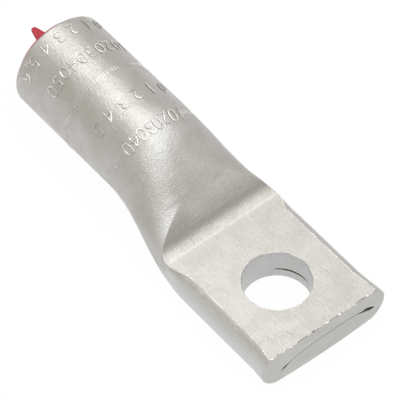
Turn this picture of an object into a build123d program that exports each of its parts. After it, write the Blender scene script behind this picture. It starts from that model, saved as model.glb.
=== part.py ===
from build123d import *
import os
from math import copysign, cos, pi, radians, sin, sqrt

# Tin-plated aluminium compression lug with a one-hole tongue, its pull-off end cap and its paste.
# Millimetres. Origin on the stud hole's axis, in the plane of the pad face under the tongue.
# +X runs from the barrel to the tongue's tip and +Z up, off the pad face. The near side is -Y.

# Lug, lengths along X
hole_to_mouth = 70.85
hole_to_tip = 14.11
hole_to_step = 17.0
hole_to_corner = 18.15
turned_length = 20.0
flare_start = 30.1
side_flare_length = 29.9

# Lug, barrel and bore
barrel_od = 22.3
bore_d = 15.0
bore_depth = 31.0
mouth_relief_d = 15.8
mouth_relief_depth = 5.6
mouth_chamfer = 0.35
rim_round = 0.5

# Lug, tongue: half widths to each side, and how far each rounded flank reaches in from its widest line
tongue_thickness = 7.76
stud_hole_d = 14.3
half_near = 15.37
half_far = 15.35
tip_flare_far = 0.5
flank_near = 6.1
flank_far = 5.2
flank_near_corner = 2.3
flank_far_corner = 2.2
flank_near_fade = 7.7
flank_far_fade = 5.5
flank_near_start = 28.5
flank_far_start = 34.3
flank_tip = 5.0
lower_flank = 4.6
press_crown = 0.74
pad_strike = 0.15
tip_bow = 0.75

# Lug, slope from the barrel down to the tongue, and the concave step where the flat die stopped
slope_start = 28.3
slope_angle = 38.6
slope_top_radius = 16.8
slope_foot_radius = 5.0
step_radius = 3.8

# Lug, the tapering space behind the bore and the fold seam that it closes to
wall = 3.65
cavity_shoulder = 0.4
cavity_end_height = 0.8
cavity_end_gap = 1.5
seam_gap = 0.12
seam_height = 3.1
seam_edge_drop = 1.1
seam_near = 11.2
seam_far = 13.2
channel_length = 1.9
channel_height = 0.8
channel_lean = 18.0
hole_gap_d = 8.8
hole_gap_height = 0.8
hole_gap_z = 2.5
hole_gap_out = 4.1
hole_gap_turn = 112.0

# End cap
cap_skirt_clearance = 0.1
cap_seat_gap = 0.05
cap_flange_d = 19.9
cap_flange_t = 1.15
cap_flange_round = 0.3
cap_skirt_wall = 0.9
cap_skirt_end_gap = 0.5
fin_length = 8.8
fin_base = (6.0, 2.2)
fin_tip = (0.9, 0.9)
fin_round = 0.25
fin_offset = (1.1, 0.5)

# Joint compound
compound_gap = 0.1
compound_start_gap = 1.0
compound_length = 16.0

# How finely the pressed shape is sampled for its loft
section_points = 48
section_step = 2.4
seam_tolerance = 0.001

# Worked out from the driving dimensions
barrel_r = barrel_od / 2
hole_r = stud_hole_d / 2
x_mouth = -hole_to_mouth
x_round_end = x_mouth + turned_length
x_step = -hole_to_step
x_corner = -hole_to_corner
x_bore_end = x_mouth + bore_depth
x_waste = hole_to_tip + 2 * tip_bow
crown = tongue_thickness + press_crown
slope = radians(slope_angle)
slope_run = (barrel_od - crown - (slope_top_radius + slope_foot_radius) * (1 - cos(slope))) / sin(slope)
x_slope = x_mouth + slope_start
x_straight = x_slope + slope_top_radius * sin(slope)
x_foot = x_straight + slope_run * cos(slope)
x_crown = x_foot + slope_foot_radius * sin(slope)


def mix(a, b, share):
    return a + (b - a) * share


def ramp(x, start, end):
    """Smooth step from 0 at start to 1 at end."""
    u = min(1.0, max(0.0, (x - start) / (end - start)))
    return u * u * (3 - 2 * u)


def flare(x):
    """How far the round tube has turned into the wide tongue, from 0 to 1."""
    return ramp(x, x_mouth + flare_start, x_mouth + flare_start + side_flare_length)


def top_height(x):
    """Crown of the pressed tube: off the barrel in a convex arc, straight down, out in a concave arc."""
    if x <= x_slope:
        return barrel_od
    if x <= x_straight:
        return barrel_od - slope_top_radius + sqrt(slope_top_radius**2 - (x - x_slope) ** 2)
    if x <= x_foot:
        return barrel_od - slope_top_radius * (1 - cos(slope)) - (x - x_straight) * sin(slope) / cos(slope)
    if x <= x_crown:
        return crown + slope_foot_radius - sqrt(slope_foot_radius**2 - (x_crown - x) ** 2)
    return crown


def upper_flank(x, start, at_corner, on_tongue, fade):
    """Reach of a rounded upper flank, which tightens from start to the corner beside the step."""
    run = mix(barrel_r, at_corner, ramp(x, x_mouth + start, x_corner))
    run = mix(run, on_tongue, ramp(x, x_corner, x_corner + fade))
    return mix(run, flank_tip, ramp(x, hole_r, hole_to_tip))


def outline(x, low, middle, high, sides):
    """Closed section at x: flat above and below, with an elliptic flank in each corner.

    low, middle and high are heights, the middle one that of the widest line. sides gives the half
    width, upper flank and lower flank, first of the near side and then of the far side.
    """
    points = []
    for step in range(section_points):
        turn = 2 * pi * step / section_points
        half, upper, lower = sides[cos(turn) >= 0]
        run = upper if sin(turn) >= 0 else lower
        rise = high - middle if sin(turn) >= 0 else middle - low
        out = half * abs(cos(turn)) / run
        up = abs(sin(turn))
        flat = (half - run) / run
        if up * flat >= out:
            reach = 1 / up
        else:
            reach = (out * flat + sqrt(out**2 + up**2 - (up * flat) ** 2)) / (out**2 + up**2)
        y = copysign(reach * out * run, cos(turn))
        points.append(Vector(x, y, middle + copysign(reach * up * rise, sin(turn))))
    return Wire([Edge.make_spline(points, periodic=True)])


def lofted(section, start, end):
    """Solid through sections spread evenly from start to end."""
    count = max(4, round((end - start) / section_step) + 1)
    return Solid.make_loft([section(mix(start, end, i / (count - 1))) for i in range(count)])


def pressed_section(x):
    tip = ramp(x, hole_r, hole_to_tip)
    lower = mix(barrel_r, lower_flank, flare(x))
    near_half = mix(barrel_r, half_near, flare(x))
    near_upper = upper_flank(x, flank_near_start, flank_near_corner, flank_near, flank_near_fade)
    far_half = mix(barrel_r, half_far, flare(x)) + tip_flare_far * tip
    far_upper = upper_flank(x, flank_far_start, flank_far_corner, flank_far, flank_far_fade)
    high = top_height(x)
    sides = ((near_half, near_upper, lower), (far_half, far_upper, lower))
    return outline(x, -pad_strike * flare(x), high / 2, high, sides)


def cavity_section(x, inset=0.0):
    """Section of the space behind the bore, or of a surface that lies inset inside it."""
    closing = ramp(x, x_bore_end, x_crown)
    start_r = bore_d / 2 - cavity_shoulder
    low = mix(barrel_r - start_r, seam_height - cavity_end_height / 2, closing)
    lean = mix(1.0, cos(slope), ramp(x, x_bore_end, x_straight))
    high = max(low + cavity_end_height, top_height(x) - (barrel_r - start_r) / lean)
    half = mix(start_r, (half_near + half_far) / 2 - wall, closing)
    flank = mix(half, (half + high - low) / 2, closing)
    side = (half - inset, flank - inset, flank - inset)
    return outline(x, low + inset, (low + high) / 2, high - inset, (side, side))


def turned(profile):
    """Solid of revolution about the barrel's axis, from (x, radius) points."""
    face = Plane.XZ * make_face(Polyline(*profile, close=True))
    return Pos(0, 0, barrel_r) * revolve(face, Axis.X)


def block(low, high):
    size = [b - a for a, b in zip(low, high)]
    return Pos(*low) * Box(*size, align=(Align.MIN, Align.MIN, Align.MIN))


def across(face):
    """A side-view face in X and Z, carried right across the lug."""
    return Pos(0, barrel_od, 0) * extrude(Plane.XZ * face, amount=2 * barrel_od)


def along(face, start, end):
    """An end-view face in Y and Z, carried from start to end."""
    plane = Plane(origin=(start, 0, 0), x_dir=(0, 1, 0), z_dir=(1, 0, 0))
    return extrude(plane * face, amount=end - start)


def struck_space():
    """Taken away by the flat upper die, down to the tongue's face and back to the concave step."""
    foot = (x_step, tongue_thickness)
    back = (x_step - step_radius, tongue_thickness + step_radius)
    edges = Polyline(back, (back[0], barrel_od), (x_waste, barrel_od), (x_waste, tongue_thickness), foot)
    return across(make_face(edges + RadiusArc(foot, back, step_radius)))


def tip_waste():
    """What lies past the tip, whose top edge is straight and whose lower edge bows forward."""
    half = half_near + wall

    def plan(z, rim):
        sides = Polyline((hole_to_tip, half), (x_waste, half), (x_waste, -half), (hole_to_tip, -half))
        return Pos(0, 0, z) * make_face(rim + sides)

    straight = Line((hole_to_tip, -half), (hole_to_tip, half))
    bowed = ThreePointArc((hole_to_tip, -half), (hole_to_tip + tip_bow, 0), (hole_to_tip, half))
    return loft([plan(0, bowed), plan(tongue_thickness, straight)], ruled=True)


def fold_seam():
    """Hairline between the tube's two walls, with a small open channel at each edge."""
    centre = (seam_far - seam_near) / 2
    reach = (seam_far + seam_near) / 2
    bends = (-1.0, -0.7, -0.35, 0.0, 0.35, 0.7, 1.0)
    line = [(centre + u * reach, seam_height - seam_edge_drop * u * u) for u in bends]
    above = [(y, z + seam_gap / 2) for y, z in line]
    below = [(y, z - seam_gap / 2) for y, z in reversed(line)]
    profile = make_face(Polyline(*above, *below, close=True))
    for side, (y, z) in ((-1, line[0]), (1, line[-1])):
        channel = Ellipse(channel_length / 2, channel_height / 2)
        profile += Pos(y - side * channel_length / 3, z + seam_gap) * Rot(0, 0, -side * channel_lean) * channel
    return along(profile, x_crown - cavity_end_gap - wall, x_waste)


def hole_gap():
    """Lens-shaped space where the walls stand a little apart at the far side of the stud hole."""
    half = hole_gap_d / 2
    rise = hole_gap_height / 2
    edges = Line((0, -rise), (0, rise))
    edges += ThreePointArc((0, rise), (half / 2, rise * 3 / 4), (half, 0))
    edges += ThreePointArc((half, 0), (half / 2, -rise * 3 / 4), (0, -rise))
    lens = revolve(Plane.XZ * make_face(edges), Axis.Z)
    turn = radians(hole_gap_turn)
    return Pos(hole_gap_out * cos(turn), hole_gap_out * sin(turn), hole_gap_z) * lens


def bore_space():
    """The bore, its wider mouth and the chamfer that leads the strands in."""
    relief_r = mouth_relief_d / 2
    x_relief_end = x_mouth + mouth_relief_depth
    outside = x_mouth - mouth_chamfer
    return turned(
        [
            (outside, 0),
            (outside, relief_r + 2 * mouth_chamfer),
            (x_mouth + mouth_chamfer, relief_r),
            (x_relief_end, relief_r),
            (x_relief_end + (relief_r - bore_d / 2), bore_d / 2),
            (x_bore_end, bore_d / 2),
            (x_bore_end, 0),
        ]
    )


def make_lug_body():
    barrel = turned([(x_mouth, 0), (x_mouth, barrel_r), (x_round_end, barrel_r), (x_round_end, 0)])
    barrel = fillet(barrel.edges().group_by(Axis.X)[0], rim_round)
    lug = Part() + barrel.solid().fuse(lofted(pressed_section, x_round_end, x_waste), tol=seam_tolerance)
    lug -= block((x_mouth, -barrel_od, -barrel_r), (x_waste, barrel_od, 0))
    lug -= struck_space()
    lug -= tip_waste()
    lug -= Pos(0, 0, tongue_thickness / 2) * Cylinder(hole_r, 2 * tongue_thickness)
    lug -= bore_space()
    lug -= lofted(cavity_section, x_bore_end - cavity_shoulder, x_crown - cavity_end_gap)
    lug -= fold_seam()
    lug -= hole_gap()
    return lug


def make_end_cap():
    x_in = x_mouth - cap_seat_gap
    x_out = x_in - cap_flange_t
    x_skirt_end = x_mouth + mouth_relief_depth - cap_skirt_end_gap
    skirt_r = mouth_relief_d / 2 - cap_skirt_clearance
    bowl_r = skirt_r - cap_skirt_wall
    flange_r = cap_flange_d / 2
    shell = turned(
        [
            (x_out, 0),
            (x_out, flange_r - cap_flange_round),
            (x_out + cap_flange_round, flange_r),
            (x_in, flange_r),
            (x_in, skirt_r),
            (x_skirt_end, skirt_r),
            (x_skirt_end, bowl_r),
            (x_in, bowl_r),
            (x_in, 0),
        ]
    )
    base = Plane(origin=(x_out, fin_offset[0], barrel_r + fin_offset[1]), x_dir=(0, 1, 0), z_dir=(-1, 0, 0))
    tip = base.offset(fin_length)
    fin = loft([base * RectangleRounded(*fin_base, fin_round), tip * RectangleRounded(*fin_tip, fin_round)])
    return shell + fin


def make_joint_compound():
    start = x_bore_end + compound_start_gap
    return lofted(lambda x: cavity_section(x, compound_gap), start, start + compound_length)


os.makedirs("parts", exist_ok=True)
export_step(make_lug_body(), "parts/lug_body.step")
export_step(make_end_cap(), "parts/end_cap.step")
export_step(make_joint_compound(), "parts/joint_compound.step")
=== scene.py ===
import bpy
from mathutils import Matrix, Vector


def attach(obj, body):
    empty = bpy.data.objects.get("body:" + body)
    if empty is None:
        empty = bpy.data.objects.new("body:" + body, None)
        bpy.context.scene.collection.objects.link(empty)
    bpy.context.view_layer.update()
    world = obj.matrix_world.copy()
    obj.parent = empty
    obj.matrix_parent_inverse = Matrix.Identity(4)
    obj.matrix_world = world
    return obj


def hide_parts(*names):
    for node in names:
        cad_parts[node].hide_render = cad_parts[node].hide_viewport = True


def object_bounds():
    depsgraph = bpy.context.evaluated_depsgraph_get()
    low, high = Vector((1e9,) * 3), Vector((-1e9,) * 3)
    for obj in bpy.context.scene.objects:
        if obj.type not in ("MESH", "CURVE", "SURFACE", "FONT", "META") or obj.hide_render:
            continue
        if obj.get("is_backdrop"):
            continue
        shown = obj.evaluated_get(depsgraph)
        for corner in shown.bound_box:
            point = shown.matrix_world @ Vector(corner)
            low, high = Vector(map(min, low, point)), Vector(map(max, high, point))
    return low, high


bl_info = {
    "name": "Cable lug dresser",
    "version": (1, 0, 0),
    "blender": (4, 5, 0),
    "location": "View3D > Sidebar > Lug",
    "description": "Builds a tin-plated compression lug, its pull-off cap and its paste",
    "category": "Object",
}

import math

import bmesh
import bpy
from bpy.props import FloatProperty, FloatVectorProperty, IntProperty, PointerProperty
from mathutils import Matrix, Vector, noise
from mathutils.bvhtree import BVHTree

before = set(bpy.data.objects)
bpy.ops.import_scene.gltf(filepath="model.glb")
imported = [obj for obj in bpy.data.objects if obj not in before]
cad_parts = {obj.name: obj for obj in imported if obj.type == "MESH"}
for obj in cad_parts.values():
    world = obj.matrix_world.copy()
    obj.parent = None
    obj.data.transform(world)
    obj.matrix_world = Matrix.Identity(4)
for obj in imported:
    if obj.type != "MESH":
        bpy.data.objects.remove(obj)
cad_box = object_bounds()

MM = 0.001
TURN = 2 * math.pi
# Points closer than this many metres are joined
WELD = 1e-7
# Noise size, in millimetres, for places that are already scaled
UNIT = 1000.0
# Points round a ring of the skin, where its creases lie, and the points from each to the next
AROUND = 240
TOP_START, TOP_END, HALF_TURN = 30, 90, 120
LOW_START, LOW_END = 150, 210
SPACING = (30, 60, 30, 30, 60, 30)


# Settings


def length(name, text, millimetres):
    return FloatProperty(name=name, description=text, default=millimetres * MM, unit="LENGTH", precision=5)


def angle(name, text, degrees):
    return FloatProperty(name=name, description=text, default=math.radians(degrees), subtype="ANGLE")


def share(name, text, value):
    return FloatProperty(name=name, description=text, default=value, min=0.0, max=1.0, subtype="FACTOR")


def colour(name, text, value):
    return FloatVectorProperty(
        name=name, description=text, default=value, size=3, min=0.0, max=1.0, subtype="COLOR"
    )


def figure(name, text, value, least=0.0):
    return FloatProperty(name=name, description=text, default=value, min=least)


class LugShape(bpy.types.PropertyGroup):
    """Sizes of the lug, which are those of its solid"""

    mouth_reach: length("Hole to mouth", "From the stud hole's axis to the barrel's mouth", 70.85)
    tip_reach: length("Hole to tip", "From the stud hole's axis to the tongue's top end edge", 14.11)
    step_reach: length("Hole to step", "From the stud hole's axis to the foot of the concave step", 17.0)
    corner_reach: length("Hole to corner", "Where the upper flanks are tightest", 18.15)
    flare_start: length("Flare start", "From the mouth to where the round tube begins to widen", 30.1)
    flare_length: length("Flare length", "Length over which the tube widens to the tongue", 29.9)
    barrel: length("Barrel diameter", "Outside diameter of the barrel", 22.3)
    bore: length("Bore diameter", "Inside diameter of the barrel", 15.0)
    bore_depth: length("Bore depth", "From the mouth to the end of the bore", 31.0)
    relief: length("Mouth relief", "Diameter of the cap's seat in the mouth", 15.8)
    relief_depth: length("Relief depth", "Depth of the cap's seat", 5.6)
    chamfer: length("Mouth chamfer", "Chamfer at the edge of the mouth", 0.35)
    rim_round: length("Rim round", "Rounding of the mouth's outer edge", 0.5)
    thickness: length("Tongue thickness", "Thickness of the pressed tongue", 7.76)
    stud_hole: length("Stud hole", "Diameter of the stud hole", 14.3)
    half_near: length("Near half width", "From the middle to the near edge of the tongue", 15.37)
    half_far: length("Far half width", "From the middle to the far edge of the tongue", 15.35)
    tip_bow: length("Tip bow", "How far the lower end edge bows forward", 0.75)
    slope_start: length("Slope start", "From the mouth to where the top begins to drop", 28.3)
    slope_angle: angle("Slope angle", "Angle of the pressed slope", 38.6)
    slope_top: length("Slope top radius", "Radius of the convex bend above the slope", 16.8)
    slope_foot: length("Slope foot radius", "Radius of the concave bend below the slope", 5.0)
    step_radius: length("Step radius", "Radius of the concave step", 4.0)


class LugFinish(bpy.types.PropertyGroup):
    """Colours and surface of the metal"""

    tin: colour("Tin plate", "Colour of the satin plate", (0.54, 0.528, 0.516))
    tin_dull: colour("Dull plate", "Colour of the plate where it is dull", (0.485, 0.468, 0.442))
    sawn: colour("Sawn metal", "Colour of the bare sawn end", (0.545, 0.540, 0.525))
    punched: colour("Punched metal", "Colour of the stud hole's wall", (0.53, 0.53, 0.525))
    seam: colour("Seam", "Colour of the shadowed inside of the seam", (0.23, 0.215, 0.19))
    bore: colour("Bore", "Colour of the bore's wall", (0.40, 0.395, 0.38))
    # Painted highlight: colour laid along the ridge beside the step and on the near flank
    painted_highlight: colour("Painted highlight plate", "Colour of the plate where the press polished it", (0.62, 0.622, 0.63))
    # Colour of worn edges and burrs, also used as painted highlight on the tongue's upper edges and at the
    # foot of the step
    burnish_and_highlight: colour("Burnish and highlight", "Colour of rubbed edges and burrs", (0.80, 0.785, 0.75))
    roughness: share("Roughness", "Roughness of the plate", 0.4)
    grain: length("Grain", "Size of the plate's grain", 0.32)
    ripple: length("Ripple", "Depth of the faint press ripple in the skin", 0.012)


class MarkShape(bpy.types.PropertyGroup):
    """Tick rings and plain numerals round the barrel"""

    tick_pitch: length("Tick pitch", "Distance between ticks round the barrel", 0.7)
    tick_length: length("Tick length", "Length of a tick along the barrel", 1.0)
    tick_width: length("Tick width", "Width of a tick", 0.24)
    tick_ring: length("Tick ring", "From the mouth to the ring of ticks", 16.8)
    relief: length("Relief", "How far ticks and numerals stand proud", 0.045)
    numeral: length("Numeral height", "Height of the numerals", 3.3)
    seed: IntProperty(name="Seed", description="Picks the small unevenness of the marks", default=7, min=0)


class CapShape(bpy.types.PropertyGroup):
    """End cap"""

    colour: colour("Cap colour", "Colour of the moulded cap", (0.40, 0.006, 0.022))
    skirt_clearance: length("Skirt clearance", "Radial clearance of the skirt in the mouth", 0.1)
    seat_gap: length("Seat gap", "Between the flange and the rim", 0.05)
    flange: length("Flange diameter", "Diameter of the flange", 19.3)
    flange_thickness: length("Flange thickness", "Thickness of the flange", 1.05)
    flange_round: length("Flange rounding", "Rounding of the flange's outer edge", 0.3)
    skirt_wall: length("Skirt wall", "Wall of the skirt", 0.9)
    skirt_end_gap: length("Skirt end gap", "Between the skirt's end and the bore's shoulder", 0.5)
    fin_length: length("Fin length", "Length of the pull fin", 8.8)


class PasteShape(bpy.types.PropertyGroup):
    """Joint compound behind the bore"""

    colour: colour("Paste colour", "Colour of the joint compound", (0.30, 0.30, 0.29))
    gap: length("Gap", "Between the paste and the wall", 0.1)
    start_gap: length("Start gap", "From the end of the bore to the paste", 1.0)
    length: length("Length", "Length of the plug of paste", 16.0)


class StageSetup(bpy.types.PropertyGroup):
    """Floor, surround, softbox and camera"""

    azimuth: angle("Azimuth", "Direction of view round the part", 51.623)
    elevation: angle("Elevation", "Height of the view above the horizon", 51.631)
    roll: angle("Roll", "Turn of the picture", -0.713)
    distance: length("Distance", "From the camera to its target", 745.24)
    target: FloatVectorProperty(
        name="Target",
        description="Point at the middle of the picture",
        default=(-30.393 * MM, 4.84 * MM, 0.0),
        size=3,
        subtype="TRANSLATION",
    )
    lens: figure("Lens", "Focal length in millimetres", 328.43, 1.0)
    surround: figure("Surround", "Level of the pale surround", 0.82)
    softbox: figure("Softbox", "Power of the long overhead softbox", 6.05)
    floor_white: share("Floor white", "How much of the floor is plain white", 0.97)


# Helpers for meshes


def settings():
    return bpy.context.scene


def new_piece(name, bm, materials):
    """Turn a bmesh into a piece at the origin with its materials."""
    mesh = bpy.data.meshes.new(name)
    bm.to_mesh(mesh)
    bm.free()
    for material in materials:
        mesh.materials.append(material)
    piece = bpy.data.objects.new(name, mesh)
    settings().collection.objects.link(piece)
    return piece


def finished_mesh(piece):
    """The mesh of an object with its modifiers applied."""
    graph = bpy.context.evaluated_depsgraph_get()
    return bpy.data.meshes.new_from_object(piece.evaluated_get(graph))


def shade(piece, degrees):
    """Smooth shading with edges sharper than an angle kept crisp."""
    for polygon in piece.data.polygons:
        polygon.use_smooth = True
    piece.data.set_sharp_from_angle(angle=math.radians(degrees))


def cut(piece, cutter):
    """Take a cutter away from a piece and remove the cutter."""
    modifier = piece.modifiers.new("Cut", "BOOLEAN")
    modifier.operation = "DIFFERENCE"
    modifier.solver = "EXACT"
    modifier.object = cutter
    modifier.material_mode = "TRANSFER"
    mesh = finished_mesh(piece)
    piece.modifiers.clear()
    piece.data = mesh
    bpy.data.objects.remove(cutter)


def ring_grid(rings):
    """A grid laid through closed rings of points, joined where its long edges meet."""
    rows, around = len(rings), len(rings[0])
    bm = bmesh.new()
    bmesh.ops.create_grid(bm, x_segments=rows - 1, y_segments=around, size=1.0)
    row = bm.verts.layers.int.new("row")
    column = bm.verts.layers.int.new("column")
    for vert in bm.verts:
        vert[row] = round((vert.co.x + 1) / 2 * (rows - 1))
        vert[column] = round((vert.co.y + 1) / 2 * around) % around
        vert.co = rings[vert[row]][vert[column]] * MM
    bmesh.ops.remove_doubles(bm, verts=bm.verts, dist=WELD)
    return bm


def close_ends(bm):
    """Close the open ends of a tube of rings and turn its faces outward."""
    bmesh.ops.holes_fill(bm, edges=[edge for edge in bm.edges if edge.is_boundary], sides=0)
    bmesh.ops.recalc_face_normals(bm, faces=bm.faces)


def spun(points, centre, axis, steps):
    """Round shape spun from a profile of (x, z) points in millimetres."""
    bm = bmesh.new()
    verts = [bm.verts.new((x * MM, 0.0, z * MM)) for x, z in points]
    edges = [bm.edges.new(pair) for pair in zip(verts, verts[1:])]
    bmesh.ops.spin(
        bm, geom=verts + edges, cent=centre, axis=axis, angle=TURN, steps=steps, use_merge=True
    )
    bmesh.ops.remove_doubles(bm, verts=bm.verts, dist=WELD)
    bmesh.ops.recalc_face_normals(bm, faces=bm.faces)
    return bm


def mix(a, b, part):
    return a + (b - a) * part


def ramp(x, start, end):
    """Smooth step from 0 at start to 1 at end."""
    u = min(1.0, max(0.0, (x - start) / (end - start)))
    return u * u * (3 - 2 * u)


def window(x, start, full, hold, end):
    """Rises from start to full and falls from hold to end."""
    return ramp(x, start, full) * (1 - ramp(x, hold, end))


def bell(x, middle, width):
    """Falls from 1 at the middle to each side."""
    return math.exp(-(((x - middle) / width) ** 2))


def spread(start, end, count):
    """Count values from just after start up to end."""
    return [mix(start, end, (i + 1) / count) for i in range(count)]


def ripple_at(x, y, z, size, seed):
    """Smooth noise from -1 to 1 at a place in millimetres."""
    return noise.noise(Vector((x / size + seed, y / size, z / size)))


def ripple(x, size, seed):
    """The same noise along a line."""
    return ripple_at(x, 0, 0, size, seed)


# Section geometry of the pressed tube, in millimetres


class Tube:
    """Outside and inside of the pressed tube, worked out from the lug's sizes."""

    flank_near, flank_far = 6.1, 5.2
    near_corner, far_corner = 2.3, 2.2
    near_fade, far_fade = 7.7, 5.5
    near_start, near_bend, near_middle = 36.0, 47.0, 9.7
    far_start = 40.0
    flank_tip, flank_low = 5.0, 4.6
    crown_rise = 0.74
    pad_strike = 0.15
    tip_flare, near_tip_flare = 0.5, 0.25
    wall = 3.65
    cavity_shoulder = 0.4
    cavity_end_height, cavity_seam_height = 0.8, 3.1
    seam_near, seam_far, seam_height = 11.2, 13.2, 4.6
    seam_drop_near, seam_drop_far = 2.5, 1.7
    bow_half = 19.02
    bend_r = 6.0
    step_steepening = math.radians(8.4)
    ridge_reach = 8.0
    shoulder_rise, shoulder_run = 0.9, (-8.0, -3.0, -0.5, 5.0)
    bulge, bulge_run, bulge_struck = 0.7, (-20.5, -11.5, -7.0, -3.5), (-11.0, -6.0)
    crease_margin = 0.002

    def __init__(self, shape):
        def size(value):
            return value / MM

        self.r = size(shape.barrel) / 2
        self.mouth = -size(shape.mouth_reach)
        self.tip = size(shape.tip_reach)
        self.step = -size(shape.step_reach)
        self.corner = -size(shape.corner_reach)
        self.flare_start = self.mouth + size(shape.flare_start)
        self.flare_end = self.flare_start + size(shape.flare_length)
        self.bore_r = size(shape.bore) / 2
        self.bore_end = self.mouth + size(shape.bore_depth)
        self.relief_r = size(shape.relief) / 2
        self.relief_end = self.mouth + size(shape.relief_depth)
        self.chamfer = size(shape.chamfer)
        self.rim = size(shape.rim_round)
        self.thick = size(shape.thickness)
        self.hole_r = size(shape.stud_hole) / 2
        self.half_near = size(shape.half_near)
        self.half_far = size(shape.half_far)
        self.bow = size(shape.tip_bow)
        self.top_r = size(shape.slope_top)
        self.foot_r = size(shape.slope_foot)
        self.step_r = size(shape.step_radius)
        self.slope = shape.slope_angle
        self.ridge = self.step - self.ridge_reach
        self.crown = self.thick + self.crown_rise
        bends = (self.top_r + self.foot_r) * (1 - math.cos(self.slope))
        run = (2 * self.r - self.crown - bends) / math.sin(self.slope)
        self.slope_start = self.mouth + size(shape.slope_start)
        self.straight = self.slope_start + self.top_r * math.sin(self.slope)
        self.foot = self.straight + run * math.cos(self.slope)
        self.crown_start = self.foot + self.foot_r * math.sin(self.slope)
        self.set_step()

    def flare(self, x):
        return ramp(x, self.flare_start, self.flare_end)

    def on_slope(self, x):
        """Height of the straight part of the slope."""
        fall = self.top_r * (1 - math.cos(self.slope)) + (x - self.straight) * math.tan(self.slope)
        return 2 * self.r - fall

    def top(self, x):
        """Height of the pressed crown before the flat die struck it."""
        if x <= self.slope_start:
            return 2 * self.r
        if x <= self.straight:
            return 2 * self.r - self.top_r + math.sqrt(self.top_r**2 - (x - self.slope_start) ** 2)
        if x <= self.foot:
            return self.on_slope(x)
        if x <= self.crown_start:
            return self.crown + self.foot_r - math.sqrt(self.foot_r**2 - (self.crown_start - x) ** 2)
        return self.crown

    def set_step(self):
        """Place the concave step: the slope steepens a little, then an arc leads out on to the tongue."""
        steep = self.slope + self.step_steepening
        rise = self.step_r * (1 - math.cos(steep)) + self.bend_r * (math.cos(self.slope) - math.cos(steep))
        fall = 2 * self.r - self.top_r * (1 - math.cos(self.slope)) - self.thick - rise
        self.bend_start = self.straight + fall / math.tan(self.slope)
        self.bend_end = self.bend_start + self.bend_r * (math.sin(steep) - math.sin(self.slope))
        self.arc_end = self.bend_end + self.step_r * math.sin(steep)
        self.bend_x = self.bend_start - self.bend_r * math.sin(self.slope)
        self.bend_z = self.thick + rise - self.bend_r * math.cos(self.slope)

    def die(self, x):
        """Height of the struck face down the slope, through the step and on to the tongue."""
        if x >= self.arc_end:
            return self.thick
        if x >= self.bend_end:
            return self.thick + self.step_r - math.sqrt(self.step_r**2 - (self.arc_end - x) ** 2)
        if x >= self.bend_start:
            return self.bend_z + math.sqrt(self.bend_r**2 - (x - self.bend_x) ** 2)
        if x > self.straight:
            return self.on_slope(x)
        return 4 * self.r

    def shoulder(self, x):
        """How far the metal beside the step stands above the struck face before it is cut."""
        return self.shoulder_rise * window(x - self.step, *self.shoulder_run)

    def swell(self, x, y, z):
        """Extra height of the top of the slope, which bulges toward the near side."""
        struck = ramp(x - self.step, *self.bulge_struck) * ramp(y, -7.0, -3.0)
        along = self.bulge * window(x - self.step, *self.bulge_run)
        return along * (1 - struck) * ramp(-y, -8.0, 3.0) * ramp(z, 5.0, 9.0)

    def flank(self, x, run, on_tongue, fade):
        run = mix(run, on_tongue, ramp(x, self.corner, self.corner + fade))
        return mix(run, self.flank_tip, ramp(x, self.hole_r, self.tip))

    def sides(self, x):
        """Half width, upper flank and lower flank, near side first."""
        flare = self.flare(x)
        low = mix(self.r, self.flank_low, flare)
        near = mix(self.r, self.half_near, flare) + self.near_tip_flare * ramp(x, self.tip - 4, self.tip)
        far = mix(self.r, self.half_far, flare) + self.tip_flare * ramp(x, self.hole_r, self.tip)
        bend = self.mouth + self.near_bend
        near_run = mix(self.r, self.near_middle, ramp(x, self.mouth + self.near_start, bend))
        near_run = mix(near_run, self.near_corner, ramp(x, bend, self.corner))
        far_run = mix(self.r, self.far_corner, ramp(x, self.mouth + self.far_start, self.corner))
        near_up = self.flank(x, near_run, self.flank_near, self.near_fade)
        far_up = self.flank(x, far_run, self.flank_far, self.far_fade)
        return (near, near_up, low), (far, far_up, low)

    @staticmethod
    def outline(turn, low, middle, high, sides):
        """Point (y, z) of a section: flat above and below, with an elliptic flank in each corner."""
        half, upper, lower = sides[math.cos(turn) >= 0]
        run = upper if math.sin(turn) >= 0 else lower
        rise = high - middle if math.sin(turn) >= 0 else middle - low
        out = half * abs(math.cos(turn)) / run
        up = abs(math.sin(turn))
        flat = (half - run) / run
        reach = 1 / up if up * flat >= out else None
        if reach is None:
            reach = (out * flat + math.sqrt(out**2 + up**2 - (up * flat) ** 2)) / (out**2 + up**2)
        y = math.copysign(reach * out * run, math.cos(turn))
        return y, middle + math.copysign(reach * up * rise, math.sin(turn))

    def crease(self, section, mirrored, target, lower):
        """Turn at which a section (low, high, sides) passes a height, on one side and one half."""
        low, high, sides = section
        low_turn, high_turn = 0.0, math.pi / 2
        for _ in range(30):
            middle = (low_turn + high_turn) / 2
            turn = math.pi - middle if mirrored else middle
            z = self.outline(-turn if lower else turn, low, high / 2, high, sides)[1]
            if (z <= target) if lower else (z >= target):
                high_turn = middle
            else:
                low_turn = middle
        return high_turn

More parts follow.
